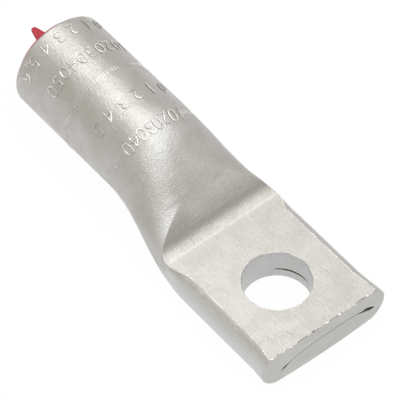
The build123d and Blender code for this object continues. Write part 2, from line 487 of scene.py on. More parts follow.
    def outside(self, x):
        """Ring of (x, y, z) round the outside, with its creases at fixed places in the ring."""
        high = self.top(x) + self.shoulder(x)
        low = -self.pad_strike * self.flare(x)
        section = low, high, self.sides(x)
        limit = self.die(x)
        even = math.pi / 4
        share_up = 1.0 if x >= self.ridge else ramp(x, self.mouth + 22, self.ridge)
        share_low = ramp(x, self.flare_start, self.flare_start + 8)
        target = min(limit, high - self.crease_margin)
        stops = []
        for mirrored in (False, True):
            struck = low < -2 * self.crease_margin and share_low >= 1
            level = 0.0 if struck else min(0.0, low + self.crease_margin)
            stops.append(mix(even, self.crease(section, mirrored, target, False), share_up))
            stops.append(mix(even, self.crease(section, mirrored, level, True), share_low))
        far_up, far_low, near_up, near_low = stops
        corners = (0, far_up, math.pi - near_up, math.pi, math.pi + near_low, TURN - far_low, TURN)
        turns = [mix(a, b, j / n) for a, b, n in zip(corners, corners[1:], SPACING) for j in range(n)]
        ring = []
        for turn in turns:
            y, z = self.outline(turn, low, high / 2, high, section[2])
            z = max(0.0, min(z, limit))
            ring.append(Vector((x, y, z + self.swell(x, y, z))))
        return ring

    def tip_x(self, y, z):
        return self.tip + self.bow * (1 - (y / self.bow_half) ** 2) * (1 - z / self.thick)

    def seam(self, place):
        """Height of the fold line at a place from -1 (near) to 1 (far)."""
        drop = self.seam_drop_near if place < 0 else self.seam_drop_far
        return self.seam_height - drop * abs(place) ** 3

    def inside_ring(self, x, inset, count):
        """Ring round the tapering space behind the bore."""
        closing = ramp(x, self.bore_end, self.crown_start)
        start_r = self.bore_r - self.cavity_shoulder
        low = mix(self.r - start_r, self.cavity_seam_height - self.cavity_end_height / 2, closing)
        lean = mix(1.0, math.cos(self.slope), ramp(x, self.bore_end, self.straight))
        high = max(low + self.cavity_end_height, self.top(x) - (self.r - start_r) / lean)
        half = mix(start_r, (self.half_near + self.half_far) / 2 - self.wall, closing)
        flank = mix(half, (half + high - low) / 2, closing)
        side = (half - inset, flank - inset, flank - inset)
        levels = low + inset, (low + high) / 2, high - inset
        return [Vector((x, *self.outline(TURN * j / count, *levels, (side, side)))) for j in range(count)]

    def circle(self, x, radius):
        turns = [TURN * j / AROUND for j in range(AROUND)]
        return [Vector((x, radius * math.cos(t), self.r + radius * math.sin(t))) for t in turns]


# Nodes and shared shader groups


class Web:
    """Short names for the nodes of one tree."""

    def __init__(self, tree):
        self.tree = tree

    def node(self, kind, **values):
        made = self.tree.nodes.new("ShaderNode" + kind)
        for key, value in values.items():
            setattr(made, key, value)
        return made

    def feed(self, target, source):
        """Link a socket, or set a plain value."""
        if isinstance(source, bpy.types.NodeSocket):
            self.tree.links.new(source, target)
        else:
            target.default_value = source

    def place(self):
        return self.node("TexCoord").outputs["Object"]

    def noise(self, place, size, detail, rough=0.5, distortion=0.0):
        """Noise with a grain of a given size in millimetres."""
        made = self.node("TexNoise")
        values = {"Scale": 1 / (size * MM), "Detail": detail, "Roughness": rough, "Distortion": distortion}
        for key, value in {"Vector": place, **values}.items():
            self.feed(made.inputs[key], value)
        return made.outputs["Fac"]

    def remap(self, value, low, high, out_low=0.0, out_high=1.0):
        made = self.node("MapRange", interpolation_type="SMOOTHSTEP")
        for socket, number in zip(made.inputs, (value, low, high, out_low, out_high)):
            self.feed(socket, number)
        return made.outputs["Result"]

    def maths(self, operation, *values):
        made = self.node("Math", operation=operation)
        for socket, value in zip(made.inputs, values):
            self.feed(socket, value)
        return made.outputs[0]

    def times(self, a, b):
        return self.maths("MULTIPLY", a, b)

    def more(self, base, value, part):
        """A base plus a part of a value."""
        return self.maths("MULTIPLY_ADD", value, part, base)

    def blend(self, factor, a, b):
        made = self.node("Mix", data_type="RGBA")
        for socket, value in zip((made.inputs[0], made.inputs[6], made.inputs[7]), (factor, a, b)):
            self.feed(socket, value)
        return made.outputs[2]

    def stretch(self, place, scale, turn=(0.0, 0.0, 0.0), shift=0.0):
        made = self.node("Mapping")
        values = {"Vector": place, "Scale": scale, "Rotation": turn, "Location": (shift, 0.0, 0.0)}
        for key, value in values.items():
            self.feed(made.inputs[key], value)
        return made.outputs["Vector"]

    def scaled(self, place, scale):
        made = self.node("VectorMath", operation="SCALE")
        self.feed(made.inputs[0], place)
        self.feed(made.inputs["Scale"], scale)
        return made.outputs[0]

    def mask(self, name):
        return self.node("Attribute", attribute_name=name).outputs["Fac"]

    def use(self, group, **values):
        placed = self.node("Group", node_tree=group)
        for key, value in values.items():
            self.feed(placed.inputs[key], value)
        return placed.outputs


def group(name, given, default, outputs, fill):
    """Build a node group once, with one number in and numbers that change over the surface out."""
    made = bpy.data.node_groups.get(name)
    if made:
        return made
    made = bpy.data.node_groups.new(name, "ShaderNodeTree")
    socket = made.interface.new_socket(name=given, in_out="INPUT", socket_type="NodeSocketFloat")
    socket.default_value = default
    for label in outputs:
        made.interface.new_socket(name=label, in_out="OUTPUT", socket_type="NodeSocketFloat")
    results = fill(Web(made), made.nodes.new("NodeGroupInput").outputs[given])
    sink = made.nodes.new("NodeGroupOutput")
    for label, value in zip(outputs, results):
        made.links.new(value, sink.inputs[label])
    return made


def grain_group():
    """Fine orange-peel grain of a plated or moulded surface, with a slow mottle."""

    def fill(web, scale):
        place = web.scaled(web.place(), scale)
        fine = web.noise(place, UNIT, 3.0, 0.62)
        coarse = web.noise(web.scaled(place, 0.3), UNIT, 2.0)
        mottle = web.noise(web.scaled(place, 0.06), UNIT, 3.0, 0.55, 0.6)
        return fine, web.remap(mottle, 0.3, 0.7), web.more(fine, coarse, 0.6)

    return group("Surface grain", "Scale", 3000.0, ("Fine", "Mottle", "Height"), fill)


def scratch_group():
    """Fine crossing scratches, long and thin, in three directions, in worn patches."""

    def fill(web, amount):
        place = web.place()
        lines = 0.0
        for turn, scale, shift in (
            ((0.0, 0.5, 0.62), (0.16, 5.2, 1.8), 3.0),
            ((0.4, 0.2, -0.85), (0.2, 6.0, 2.2), 9.0),
            ((0.0, 0.3, 1.35), (0.14, 4.6, 1.6), 17.0),
        ):
            field = web.noise(web.stretch(place, scale, turn, shift), 1.0, 1.0, 0.4)
            lines = web.maths("MAXIMUM", web.remap(field, 0.68, 0.76), lines)
        worn = web.remap(web.noise(place, 7.0, 2.0), 0.42, 0.66)
        return (web.times(web.times(lines, worn), amount),)

    return group("Fine scratches", "Amount", 1.0, ("Scratch",), fill)


def hair_group():
    """Short crossing hairlines, as pressing and tumbling leave on soft metal."""

    def fill(web, long):
        sizes = web.node("CombineXYZ")
        for socket, value in zip(sizes.inputs, (long, 0.24, 0.5)):
            web.feed(socket, value)
        total = 0.0
        for turn, shift in ((0.75, 2.0), (-0.35, 7.0), (1.5, 13.0)):
            divided = web.node("VectorMath", operation="DIVIDE")
            web.feed(divided.inputs[0], web.stretch(web.place(), (1.0, 1.0, 1.0), (0.0, 0.6, turn), shift))
            web.feed(divided.inputs[1], sizes.outputs[0])
            total = web.maths("ADD", web.noise(divided.outputs[0], 1.0, 2.0, 0.6), total)
        return (web.times(total, 0.333),)

    return group("Hairlines", "Length", 1.1, ("Hairs",), fill)


class Finish(Web):
    """A material whose Principled shader is fed as its nodes are made."""

    def __init__(self, name, roughness, metallic=0.0):
        self.material = bpy.data.materials.new(name)
        self.material.use_nodes = True
        super().__init__(self.material.node_tree)
        self.shader = next(n for n in self.tree.nodes if n.type == "BSDF_PRINCIPLED")
        self.set("Roughness", roughness)
        self.set("Metallic", metallic)
        self.normal = None

    def set(self, socket, source):
        self.feed(self.shader.inputs[socket], source)

    def gloss(self, fine, low, high):
        self.set("Roughness", self.remap(fine, 0.2, 0.8, low, high))

    def bump(self, height, depth):
        """Bump whose depth is in millimetres, on top of those before it."""
        made = self.node("Bump")
        self.feed(made.inputs["Distance"], depth * MM)
        self.feed(made.inputs["Height"], height)
        if self.normal:
            self.feed(made.inputs["Normal"], self.normal)
        self.normal = made.outputs["Normal"]
        self.set("Normal", self.normal)


def kept(build):
    """Build a material once, and give the same one when it is asked for again."""

    def get(name, *details):
        return bpy.data.materials.get(name) or build(name, *details)

    return get


def rgba(value, factor=1.0):
    return (value[0] * factor, value[1] * factor, value[2] * factor, 1.0)


@kept
def tin_material(name):
    """Satin tin plate: warm grey, grainy, faintly mottled and scratched, with worn edges brighter by wear and
    painted highlight, a painted highlight along the ridge and the near flank, and painted shade with some
    grime in the concave step.
    """
    finish = settings().lug_finish
    web = Finish(name, finish.roughness, 1.0)
    grain = web.use(grain_group(), Scale=1 / finish.grain)
    scratch = web.use(scratch_group(), Amount=1.0)["Scratch"]
    masks = ("worked", "wear_and_highlight", "shade_and_grime", "pressed", "struck", "painted_highlight")
    worked, wear_and_highlight, shade_and_grime, pressed, struck, painted_highlight = [web.mask(mask) for mask in masks]
    speckle = web.remap(web.noise(web.place(), 0.3, 1.0), 0.4, 0.62)
    base = web.blend(grain["Mottle"], rgba(finish.tin_dull), rgba(finish.tin))
    for part, tone in (
        (worked, web.blend(speckle, rgba(finish.punched, 0.8), rgba(finish.burnish_and_highlight, 0.9))),
        # Painted shade, with some grime, in the concave step
        (web.times(shade_and_grime, 0.75), rgba(finish.tin_dull, 0.74)),
        # Painted highlight along the ridge and the near flank
        (painted_highlight, rgba(finish.painted_highlight)),
        (web.times(scratch, 0.25), rgba(finish.burnish_and_highlight)),
        # Wear and painted highlight on the upper edges, painted highlight at the foot of the step
        (wear_and_highlight, rgba(finish.burnish_and_highlight)),
    ):
        base = web.blend(part, base, tone)
    web.set("Base Color", base)
    rough = web.remap(grain["Fine"], 0.25, 0.75, finish.roughness - 0.07, finish.roughness + 0.08)
    web.set("Roughness", web.more(web.more(rough, worked, 0.12), pressed, 0.07))
    waves = web.maths("SUBTRACT", web.noise(web.place(), 1.3, 2.0, 0.55, 0.5), 0.5)
    web.bump(web.times(waves, web.more(web.more(1.0, pressed, -0.5), struck, -0.85)), 0.05)
    coarse = web.more(web.more(web.more(1.0, struck, -0.74), pressed, 0.3), painted_highlight, 0.6)
    web.bump(web.times(web.maths("SUBTRACT", grain["Height"], 0.8), coarse), 0.062)
    hairy = web.more(web.more(0.45, pressed, 0.3), struck, -0.12)
    web.bump(web.times(web.use(hair_group(), Length=2.2)["Hairs"], hairy), 0.16)
    web.bump(web.times(scratch, -1.0), 0.02)
    return web.material


@kept
def bare_material(name, tint, streak_scale, roughness, strength):
    """Bare aluminium left by a tool, with its streaks."""
    web = Finish(name, roughness, 1.0)
    grain = web.use(grain_group(), Scale=4000.0)
    streaks = web.noise(web.stretch(web.place(), streak_scale), 1.0, 3.0, 0.6)
    swing = 0.13 * strength
    base = web.blend(web.remap(streaks, 0.3, 0.7), rgba(tint, 1 - swing), rgba(tint, 1 + swing))
    web.set("Base Color", web.blend(web.times(grain["Mottle"], 0.3), base, rgba(tint, 0.82)))
    web.gloss(grain["Fine"], roughness - 0.06, roughness + 0.1)
    web.bump(streaks, 0.03 * strength)
    web.bump(grain["Height"], 0.012)
    return web.material


@kept
def seam_material(name):
    """Inside of the fold seam, dull and dark with trapped dirt."""
    web = Finish(name, 0.8, 0.3)
    grain = web.use(grain_group(), Scale=3500.0)
    tint = settings().lug_finish.seam
    web.set("Base Color", web.blend(grain["Mottle"], rgba(tint, 0.6), rgba(tint, 1.3)))
    web.gloss(grain["Fine"], 0.7, 0.9)
    web.bump(grain["Height"], 0.04)
    return web.material


@kept
def burr_material(name, shade_level):
    """Thin burred metal of the stamped marks and of the pressed and sawn edges, bright as burnish and painted
    highlight, and with painted shade of small chips where the shade level is below 1.
    """
    finish = settings().lug_finish
    web = Finish(name, 0.32, 1.0)
    grain = web.use(grain_group(), Scale=6000.0)
    torn_shade_and_glint = web.remap(grain["Mottle"], 0.35, 0.6)
    web.set("Base Color", web.blend(torn_shade_and_glint, rgba(finish.tin, shade_level), rgba(finish.burnish_and_highlight)))
    web.gloss(grain["Fine"], 0.25, 0.45)
    web.bump(grain["Height"], 0.02)
    return web.material


@kept
def shade_side_material(name):
    """Painted shade: dark material for the sides of the stamped marks that face away from the light."""
    dull = settings().lug_finish.tin_dull
    web = Finish(name, 0.5, 0.8)
    grain = web.use(grain_group(), Scale=5000.0)
    web.set("Base Color", web.blend(grain["Mottle"], rgba(dull, 0.38), rgba(dull, 0.62)))
    web.bump(grain["Height"], 0.02)
    return web.material


@kept
def cap_material(name):
    """Soft moulded red plastic with flow marks and a faint waxy bloom."""
    tint = settings().lug_cap.colour
    web = Finish(name, 0.46)
    web.set("Subsurface Weight", 0.06)
    web.set("Subsurface Radius", (0.002, 0.0006, 0.0005))
    web.set("Subsurface Scale", 0.4)
    grain = web.use(grain_group(), Scale=2500.0)
    flow = web.noise(web.stretch(web.place(), (120.0, 520.0, 520.0)), UNIT, 3.0, 0.6, 0.8)
    base = web.blend(web.remap(flow, 0.35, 0.7), rgba(tint, 0.9), rgba(tint, 1.08))
    bloom = web.times(grain["Mottle"], 0.05)
    web.set("Base Color", web.blend(bloom, base, (0.75, 0.16, 0.2, 1.0)))
    web.gloss(grain["Fine"], 0.4, 0.55)
    web.bump(grain["Height"], 0.02)
    return web.material


@kept
def paste_material(name):
    """Grey joint compound with grit and a greasy shine."""
    tint = settings().lug_paste.colour
    web = Finish(name, 0.3)
    grain = web.use(grain_group(), Scale=2200.0)
    cells = web.node("TexVoronoi")
    web.feed(cells.inputs["Vector"], web.place())
    web.feed(cells.inputs["Scale"], 2600.0)
    grit = web.remap(cells.outputs["Distance"], 0.0, 0.16, 1.0, 0.0)
    base = web.blend(grain["Mottle"], rgba(tint, 0.8), rgba(tint, 1.2))
    web.set("Base Color", web.blend(web.times(grit, 0.6), base, rgba((0.62, 0.61, 0.58))))
    web.gloss(grain["Fine"], 0.2, 0.45)
    web.bump(grain["Height"], 0.05)
    web.bump(grit, 0.03)
    return web.material


def lug_materials():
    finish = settings().lug_finish
    return [
        tin_material("Tin plate"),
        bare_material("Sawn end", finish.sawn, (0.09, 0.16, 1.1), 0.42, 0.3),
        bare_material("Bore wall", finish.bore, (2.6, 0.2, 0.2), 0.38, 1.0),
        seam_material("Seam inside"),
        bare_material("Punched wall", finish.punched, (1.2, 1.2, 0.11), 0.36, 0.25),
    ]


def mark_materials():
    # The second material paints shade on the sides of the marks turned from the light
    return [burr_material("Burred mark", 1.0), shade_side_material("Lee side")]


# The skin


CAVITY_STATIONS = (-19.5, -21, -23, -25, -28, -31, -34, -37)
END_FACE_PARTS = (0.012, 0.03, 0.08, 0.16, 0.28, 0.42, 0.56, 0.7, 0.82, 0.91, 0.965)
SEAM_LIP, SEAM_DEPTHS = 0.03, (0.15, 0.4, 0.8, 1.4, 2.2)
SEAM_GAP, SEAM_WANDER = 0.06, 0.10
# Most, middle and width of each void
FAR_VOID, NEAR_VOID = (0.55, 0.90, 0.15), (0.42, -0.92, 0.07)
CHIP, CHIP_SIZE, CHIP_DEPTH = 0.38, 0.7, 0.6
EDGE_INSETS = (0.05, 0.0)
# Shallow waves: size on the flat, size elsewhere, size of the fine ones, and their strengths
WAVE_FLAT, WAVE_ROUND, WAVE_FINE = 2.4, 3.2, 0.9
FINE_STRENGTH, FLAT_STRENGTH = 0.5, 0.4
# Places of the metals in the list that lug_materials gives
SAWN_METAL, BORE_METAL, SEAM_METAL, PUNCHED_METAL = 1, 2, 3, 4


def quarter(steps):
    """Places (along, out) of a rounded edge, as shares of its radius."""
    turns = [math.pi / 2 * k / steps for k in range(steps + 1)]
    return [(1 - math.cos(turn), 1 - math.sin(turn)) for turn in turns]


def end_face_rings(tube, edge_ring):
    """Rings from the tip's outer edge in to the fold seam and down inside it."""
    centre = (tube.seam_far - tube.seam_near) / 2
    reach = (tube.seam_far + tube.seam_near) / 2
    slit = []
    for j in range(AROUND):
        turn = TURN * j / AROUND
        place = math.cos(turn)
        far_void, near_void = [most * bell(place, *where) for most, *where in (FAR_VOID, NEAR_VOID)]
        gap = (SEAM_GAP + far_void + near_void) * math.sqrt(max(0.0, 1 - place**8))
        wander = SEAM_WANDER * ripple(place * 9, 1.0, 27)
        z = tube.seam(place) + wander + math.copysign(gap, math.sin(turn)) + 0.2 * near_void
        slit.append((centre + reach * place, z))

    def ring_at(part, depth):
        ring = []
        for (y1, z1), outer in zip(slit, edge_ring):
            y, z = mix(outer.y, y1, part), mix(outer.z, z1, part)
            ring.append(Vector((tube.tip_x(y, z) - depth, y, z)))
        return ring

    rings = [ring_at(part, 0.0) for part in END_FACE_PARTS]
    return rings + [ring_at(1.0, depth) for depth in (SEAM_LIP, *SEAM_DEPTHS)]


def chipped_edge(tube, edge, inset):
    """The tip's outer ring, a little way in, with small chips out of its top."""
    ring = []
    for _, y, z in edge:
        chip = CHIP * max(0.0, ripple(y, CHIP_SIZE, 51)) * ramp(z, tube.thick - CHIP_DEPTH, tube.thick)
        ring.append(Vector((tube.tip_x(y, z) - inset - chip, y, z)))
    return ring


def lug_rings(tube):
    """Rings through the whole lug: cavity, bore, mouth, barrel, tongue, end face and seam.

    Also gives the row where each surface starts.
    """
    rings = [tube.inside_ring(x, 0.0, AROUND) for x in CAVITY_STATIONS]
    rings.append(tube.inside_ring(tube.bore_end + 0.02, 0.0, AROUND))
    bore = [(x, tube.bore_r) for x in reversed(spread(tube.relief_end + 0.45, tube.bore_end - 0.1, 14))]
    relief = [
        (tube.relief_end + tube.relief_r - tube.bore_r, tube.bore_r),
        (tube.relief_end, tube.relief_r),
        (tube.relief_end - 2.5, tube.relief_r),
        (tube.mouth + tube.chamfer, tube.relief_r),
        (tube.mouth + tube.chamfer / 2, tube.relief_r + tube.chamfer * 0.45),
    ]
    mouth = [(tube.mouth, tube.relief_r + tube.chamfer), (tube.mouth, (tube.relief_r + tube.r) / 2)]
    mouth += [(tube.mouth + tube.rim * along, tube.r - tube.rim * out) for along, out in quarter(7)]
    rings += [tube.circle(*place) for place in [(tube.bore_end, tube.bore_r - 0.02), *bore, *relief]]
    starts = {"mouth": len(rings)}
    rings += [tube.circle(*place) for place in mouth]
    starts["outside"] = len(rings)
    stations = spread(tube.mouth + tube.rim, tube.slope_start, 52)
    stations += spread(tube.slope_start, tube.ridge, 38)
    stations += spread(tube.ridge, tube.step, 36) + spread(tube.step, tube.tip - 0.12, 68)
    rings += [tube.outside(x) for x in stations]
    starts["edge"] = len(rings)
    edge = tube.outside(tube.tip)
    rings += [chipped_edge(tube, edge, inset) for inset in EDGE_INSETS]
    starts["end"] = len(rings)
    rings += end_face_rings(tube, rings[-1])
    starts["seam"] = len(rings) - len(SEAM_DEPTHS)
    return rings, starts


def on_top(j):
    return TOP_START <= j <= TOP_END


def press_ripples(tube, rings, starts, depth):
    """Shallow unevenness of the outside, except of the flat underside."""
    for ring in rings[starts["outside"] + 2 : starts["end"]]:
        middle = Vector((ring[0].x, 0.0, sum(p.z for p in ring) / len(ring)))
        for j, point in enumerate(ring):
            if LOW_START <= j <= LOW_END:
                continue
            flat = on_top(j) and point.x > tube.step
            outward = Vector((0.0, 0.0, 1.0)) if flat else point - middle
            outward.x = 0.0
            outward.normalize()
            waves = ripple_at(*point, WAVE_FLAT if flat else WAVE_ROUND, 3)
            waves += FINE_STRENGTH * ripple_at(*point, WAVE_FINE, 11)
            ring[j] = point + outward * depth * (waves * FLAT_STRENGTH if flat else waves)


def on_edge_band(tube, x, z):
    """Whether a point lies near the upper edges of the tongue."""
    return x > tube.step - 1.0 and z > tube.thick * 0.45


def worked_bands(tube, j, x, y, z):
    """Bands of worked metal under the two upper edges of the tongue."""
    if not on_edge_band(tube, x, z):
        return 0.0
    depth = tube.thick - z
    if TOP_END < j <= HALF_TURN:
        width = 0.7 + 0.5 * ripple(x, 1.7, 5) + 0.3 * ripple(x, 0.5, 2)
        return 0.25 * ramp(width - depth, -0.4, 0.3) * ramp(x, tube.step - 1.0, tube.step + 2.0)
    if j < TOP_START:
        width = 0.5 + 0.3 * ripple(x, 1.1, 8)
        return 0.5 * ramp(width - depth, -0.3, 0.2)
    return 0.0


def wear_and_highlight_edges(tube, j, x, y, z):
    """Upper edges of the tongue, brighter partly by wear and partly by painted highlight, and a painted
    highlight line at the foot of the step.
    """
    glow = 0.0
    if on_edge_band(tube, x, z) and j in (TOP_END, TOP_START):
        glow = 0.35 + 0.5 * abs(ripple(x, 0.7, 21))
    if on_top(j):
        glow = max(glow, bell(x - tube.arc_end, 0.15, 0.3) * (0.35 + 0.25 * ripple(y, 1.5, 33)))
    return glow


def shade_and_grime_step(tube, j, x, y, z):
    """Darkening of the concave step: painted shade, with some grime."""
    if not on_top(j):
        return 0.0
    return window(x, tube.bend_start - 3.5, tube.bend_end, tube.bend_end, tube.arc_end - 0.9)


def pressed_slope(tube, j, x, y, z):
    """The slope that the press has drawn down."""
    if z <= tube.r * 0.4:
        return 0.0
    return window(x, tube.slope_start - 3.0, tube.slope_start + 6.0, tube.step - 3, tube.step)


def struck_top(tube, j, x, y, z):
    """The tongue's flat top, which the die has struck."""
    return ramp(x, tube.step - 1.5, tube.step + 1.0) if z > tube.thick - 0.05 else 0.0


def painted_highlight_ridge(tube, j, x, y, z):
    """Painted highlight along the ridge beside the step and on the near flank of the tongue."""
    at = x - tube.step
    if z > tube.r * 0.5 and at < 0:
        crest = -3.5 - 0.69 * (at + 14.7)
        along = window(at, -25, -18, -3.0, -1.5) * (1 - 0.75 * window(at, -17, -11, -8, -5))
        if on_top(j):
            along *= 1 - ramp(at, -8, -4.5)
        return along * bell(y, crest, 2.9)
    if y < 0 and at > -4:
        return 0.95 * ramp(at, -4, 2) * ramp(tube.thick - z, 0.3, 1.2)
    return 0.0


def skin_masks(bm, tube):
    """Masks for the shader, each worked out from where a point lies on the skin."""
    masks = {
        "worked": worked_bands,
        "wear_and_highlight": wear_and_highlight_edges,
        "shade_and_grime": shade_and_grime_step,
        "pressed": pressed_slope,
        "struck": struck_top,
        "painted_highlight": painted_highlight_ridge,
    }
    layers = [bm.verts.layers.float.new(name) for name in masks]
    column = bm.verts.layers.int["column"]
    for vert in bm.verts:
        for mask, layer in zip(masks.values(), layers):
            vert[layer] = mask(tube, vert[column], *vert.co / MM)


def soften_crease(bm, tube):
    """Round the fold between the near shoulder and the struck slope, except at the corner."""
    column = bm.verts.layers.int["column"]
    start, low = tube.step - 15, tube.r * MM * 0.7
    for passes, reach, end in ((5, 7, tube.step - 6.5), (3, 4, tube.step - 5.0)):
        band = [vert for vert in bm.verts if abs(vert[column] - TOP_END) <= reach and vert.co.z > low]
        soft = [vert for vert in band if start < vert.co.x / MM < end]
        for _ in range(passes):
            bmesh.ops.smooth_vert(
                bm, verts=soft, factor=0.5, use_axis_x=False, use_axis_y=True, use_axis_z=True
            )


def make_skin(tube, ripple_depth):
    """The lug's whole skin, with the stud hole and its open fold cut in."""
    rings, starts = lug_rings(tube)
    press_ripples(tube, rings, starts, ripple_depth)
    bm = ring_grid(rings)
    skin_masks(bm, tube)
    soften_crease(bm, tube)
    row = bm.verts.layers.int["row"]
    for face in bm.faces:
        lowest = min(vert[row] for vert in face.verts)
        if lowest >= starts["seam"] - 1:
            face.material_index = SEAM_METAL
        elif lowest >= starts["edge"]:
            face.material_index = SAWN_METAL
        elif lowest < starts["mouth"]:
            face.material_index = BORE_METAL
    close_ends(bm)
    skin = new_piece("lug_skin", bm, lug_materials())
    cut(skin, hole_cutter(tube))
    cut(skin, fold_cutter())
    shade(skin, 18)
    return skin


def hole_cutter(tube):
    """Punch for the stud hole, with a rolled top edge and a small break at the bottom."""
    r, t = tube.hole_r, tube.thick
    profile = [
        (0.0, -1.0),
        (r + 0.35, -1.0),
        (r + 0.35, -0.2),
        (r + 0.12, 0.0),
        (r, 0.14),
        (r - 0.02, t / 3),
        (r - 0.02, t - 0.2),
        (r - 0.01, t - 0.09),
        (r + 0.03, t - 0.03),
        (r + 0.10, t + 0.02),
        (r + 0.5, t + 0.06),
        (r + 0.5, t + 1.0),
        (0.0, t + 1.0),
    ]
    bm = spun(profile, (0, 0, 0), (0, 0, 1), 144)
    return new_piece("Stud hole cutter", bm, [lug_materials()[PUNCHED_METAL]])


def fold_cutter():
    """Lens-shaped gap where the walls stand apart at the far side of the stud hole."""
    reach, rise, out, height = 4.4, 0.36, 4.1, 2.5
    turn, lean = math.radians(112), math.radians(-2)
    place = Vector((out * math.cos(turn) * MM, out * math.sin(turn) * MM, height * MM))
    bm = bmesh.new()
    bmesh.ops.create_uvsphere(bm, u_segments=96, v_segments=24, radius=1.0)
    bmesh.ops.scale(bm, verts=bm.verts, vec=(reach * MM, reach * MM, rise * MM))
    bmesh.ops.rotate(bm, verts=bm.verts, cent=(0, 0, 0), matrix=Matrix.Rotation(lean, 3, "Y"))
    bmesh.ops.translate(bm, verts=bm.verts, vec=place)
    return new_piece("Fold cutter", bm, [lug_materials()[SEAM_METAL]])


# Marks and burrs


# Section (across, up) of a burr, as shares of its width and height
RIDGE_PROFILE = ((-1.0, -0.9), (-0.8, 0.0), (-0.35, 0.8), (0.0, 1.0), (0.4, 0.75), (0.85, 0.0), (1.0, -0.9))
# First turn in degrees, distance from the mouth and count of each group of ticks
TICK_GROUPS = ((52, 1.45, 9), (-60, 1.45, 8), (54, 32.8, 6), (-56, 32.8, 6))
# Distance from the mouth, first turn and pitch in degrees, and words of each row
NUMERAL_ROWS = (
    (2.9, -48, 19.0, "0123456"),
    (10.3, -46, 24.0, ("10", "20", "30", "40", "50")),
    (24.8, -44, 19.0, "012345"),
    (32.9, -28, 22.0, ("10", "20", "30", "40")),
)
# Distance between the cuts that let a numeral bend
BISECT_STEP = 0.45


def skin_tree():
    bm = bmesh.new()
    bm.from_mesh(bpy.data.objects["lug_skin"].data)
    tree = BVHTree.FromBMesh(bm)
    bm.free()
    return tree


def on_barrel(tree, tube, x, turn, lift):
    """Point on the skin at a turn from the top toward the near side, lifted off it."""
    direction = Vector((0.0, -math.sin(turn), math.cos(turn)))
    start = Vector((x, 0, tube.r)) + direction * 2 * tube.r
    hit, normal, _, _ = tree.ray_cast(start * MM, -direction)
    if hit is None:
        raise RuntimeError(f"no skin under the mark at {x:.1f} mm")
    return hit + normal.normalized() * lift * MM


def join_part(bm, part):
    """Move the contents of one bmesh into another."""
    mesh = bpy.data.meshes.new("Part")
    part.to_mesh(mesh)
    part.free()
    bm.from_mesh(mesh)
    bpy.data.meshes.remove(mesh)


def shadow_sides(part):
    """Give the faces of a flat raised mark that face away from the light the dark material of painted shade.
    """
    steep, turned = 0.8, 0.15
    part.normal_update()
    for face in part.faces:
        shade_side = face.normal.x * 0.8 - face.normal.y * 0.6
        if face.normal.z < steep and shade_side > turned:
            face.material_index = 1


def tick_piece(tree, tube, name, places):
    """Small bevelled ribs laid on the skin at (x, turn, length, width, lift) places."""
    bm = bmesh.new()
    for x, turn, long, wide, lift in places:
        part = bmesh.new()
        bmesh.ops.create_cube(part, size=1.0)
        bmesh.ops.scale(part, verts=part.verts, vec=(long, wide, lift * 2))
        upper = [edge for edge in part.edges if all(vert.co.z > 0 for vert in edge.verts)]
        offset = min(wide, lift * 2) * 0.45
        bmesh.ops.bevel(
            part, geom=upper, offset=offset, affect="EDGES", segments=2, profile=0.5, material=-1
        )
        shadow_sides(part)
        for vert in part.verts:
            vert.co = on_barrel(tree, tube, x + vert.co.x, turn + vert.co.y / tube.r, vert.co.z)
        join_part(bm, part)
    return new_piece(name, bm, mark_materials())


def numeral_part(word, height, lift):
    """One plain numeral, flat at the origin, cut across so that it can bend."""
    text = bpy.data.curves.new("Numeral", "FONT")
    text.body = word
    text.size = height * 1.38
    text.align_x = "CENTER"
    text.align_y = "CENTER"
    text.offset = -0.17
    text.extrude = lift
    text.bevel_depth = 0.13
    text.bevel_resolution = 1
    text.resolution_u = 3
    flat = bpy.data.objects.new("Numeral", text)
    settings().collection.objects.link(flat)
    mesh = finished_mesh(flat)
    bpy.data.objects.remove(flat)
    part = bmesh.new()
    part.from_mesh(mesh)
    bpy.data.meshes.remove(mesh)
    shadow_sides(part)
    across = -height
    while across < height:
        everything = part.verts[:] + part.edges[:] + part.faces[:]
        bmesh.ops.bisect_plane(
            part, geom=everything, plane_co=(across, 0, 0), plane_no=(1, 0, 0), dist=1e-5
        )
        across += BISECT_STEP
    return part


def numeral_piece(tree, tube, name, height, lift):
    """Plain numerals bent round the barrel, in rows."""
    bm = bmesh.new()
    for from_mouth, first, pitch, words in NUMERAL_ROWS:
        for count, word in enumerate(words):
            part = numeral_part(word, height, lift)
            for vert in part.verts:
                turn = math.radians(first + pitch * count) + vert.co.x / tube.r
                vert.co = on_barrel(tree, tube, tube.mouth + from_mouth + vert.co.y, turn, vert.co.z)
            join_part(bm, part)
    return new_piece(name, bm, mark_materials())


def ridge_piece(name, places, metal):
    """Thin ridge through (point, side, width, rise, height) places, with its foot inside the metal."""
    rings = []
    for point, side, width, rise, height in places:
        rings.append([point + side * (a * width) + rise * (b * height) for a, b in RIDGE_PROFILE])
    bm = ring_grid(rings)
    close_ends(bm)
    piece = new_piece(name, bm, [metal])
    shade(piece, 50)
    return piece


def side_burr(tube, column, out):
    """Places of the burr along one upper edge of the tongue."""
    side = Vector((0, out, -0.25)).normalized()
    rise = Vector((0, 0.35 * out, 1)).normalized()
    for station in spread(tube.step + 0.3, tube.tip - 0.1, 150):
        point = tube.outside(station)[column]
        x = point.x
        width = 0.05 + 0.16 * abs(ripple(x, 0.45, 9))
        height = 0.02 + 0.10 * max(0.0, ripple(x, 0.6, 13))
        yield point + Vector((0, 0.05 * ripple(x, 0.6, 4), 0.0)), side, width, rise, height


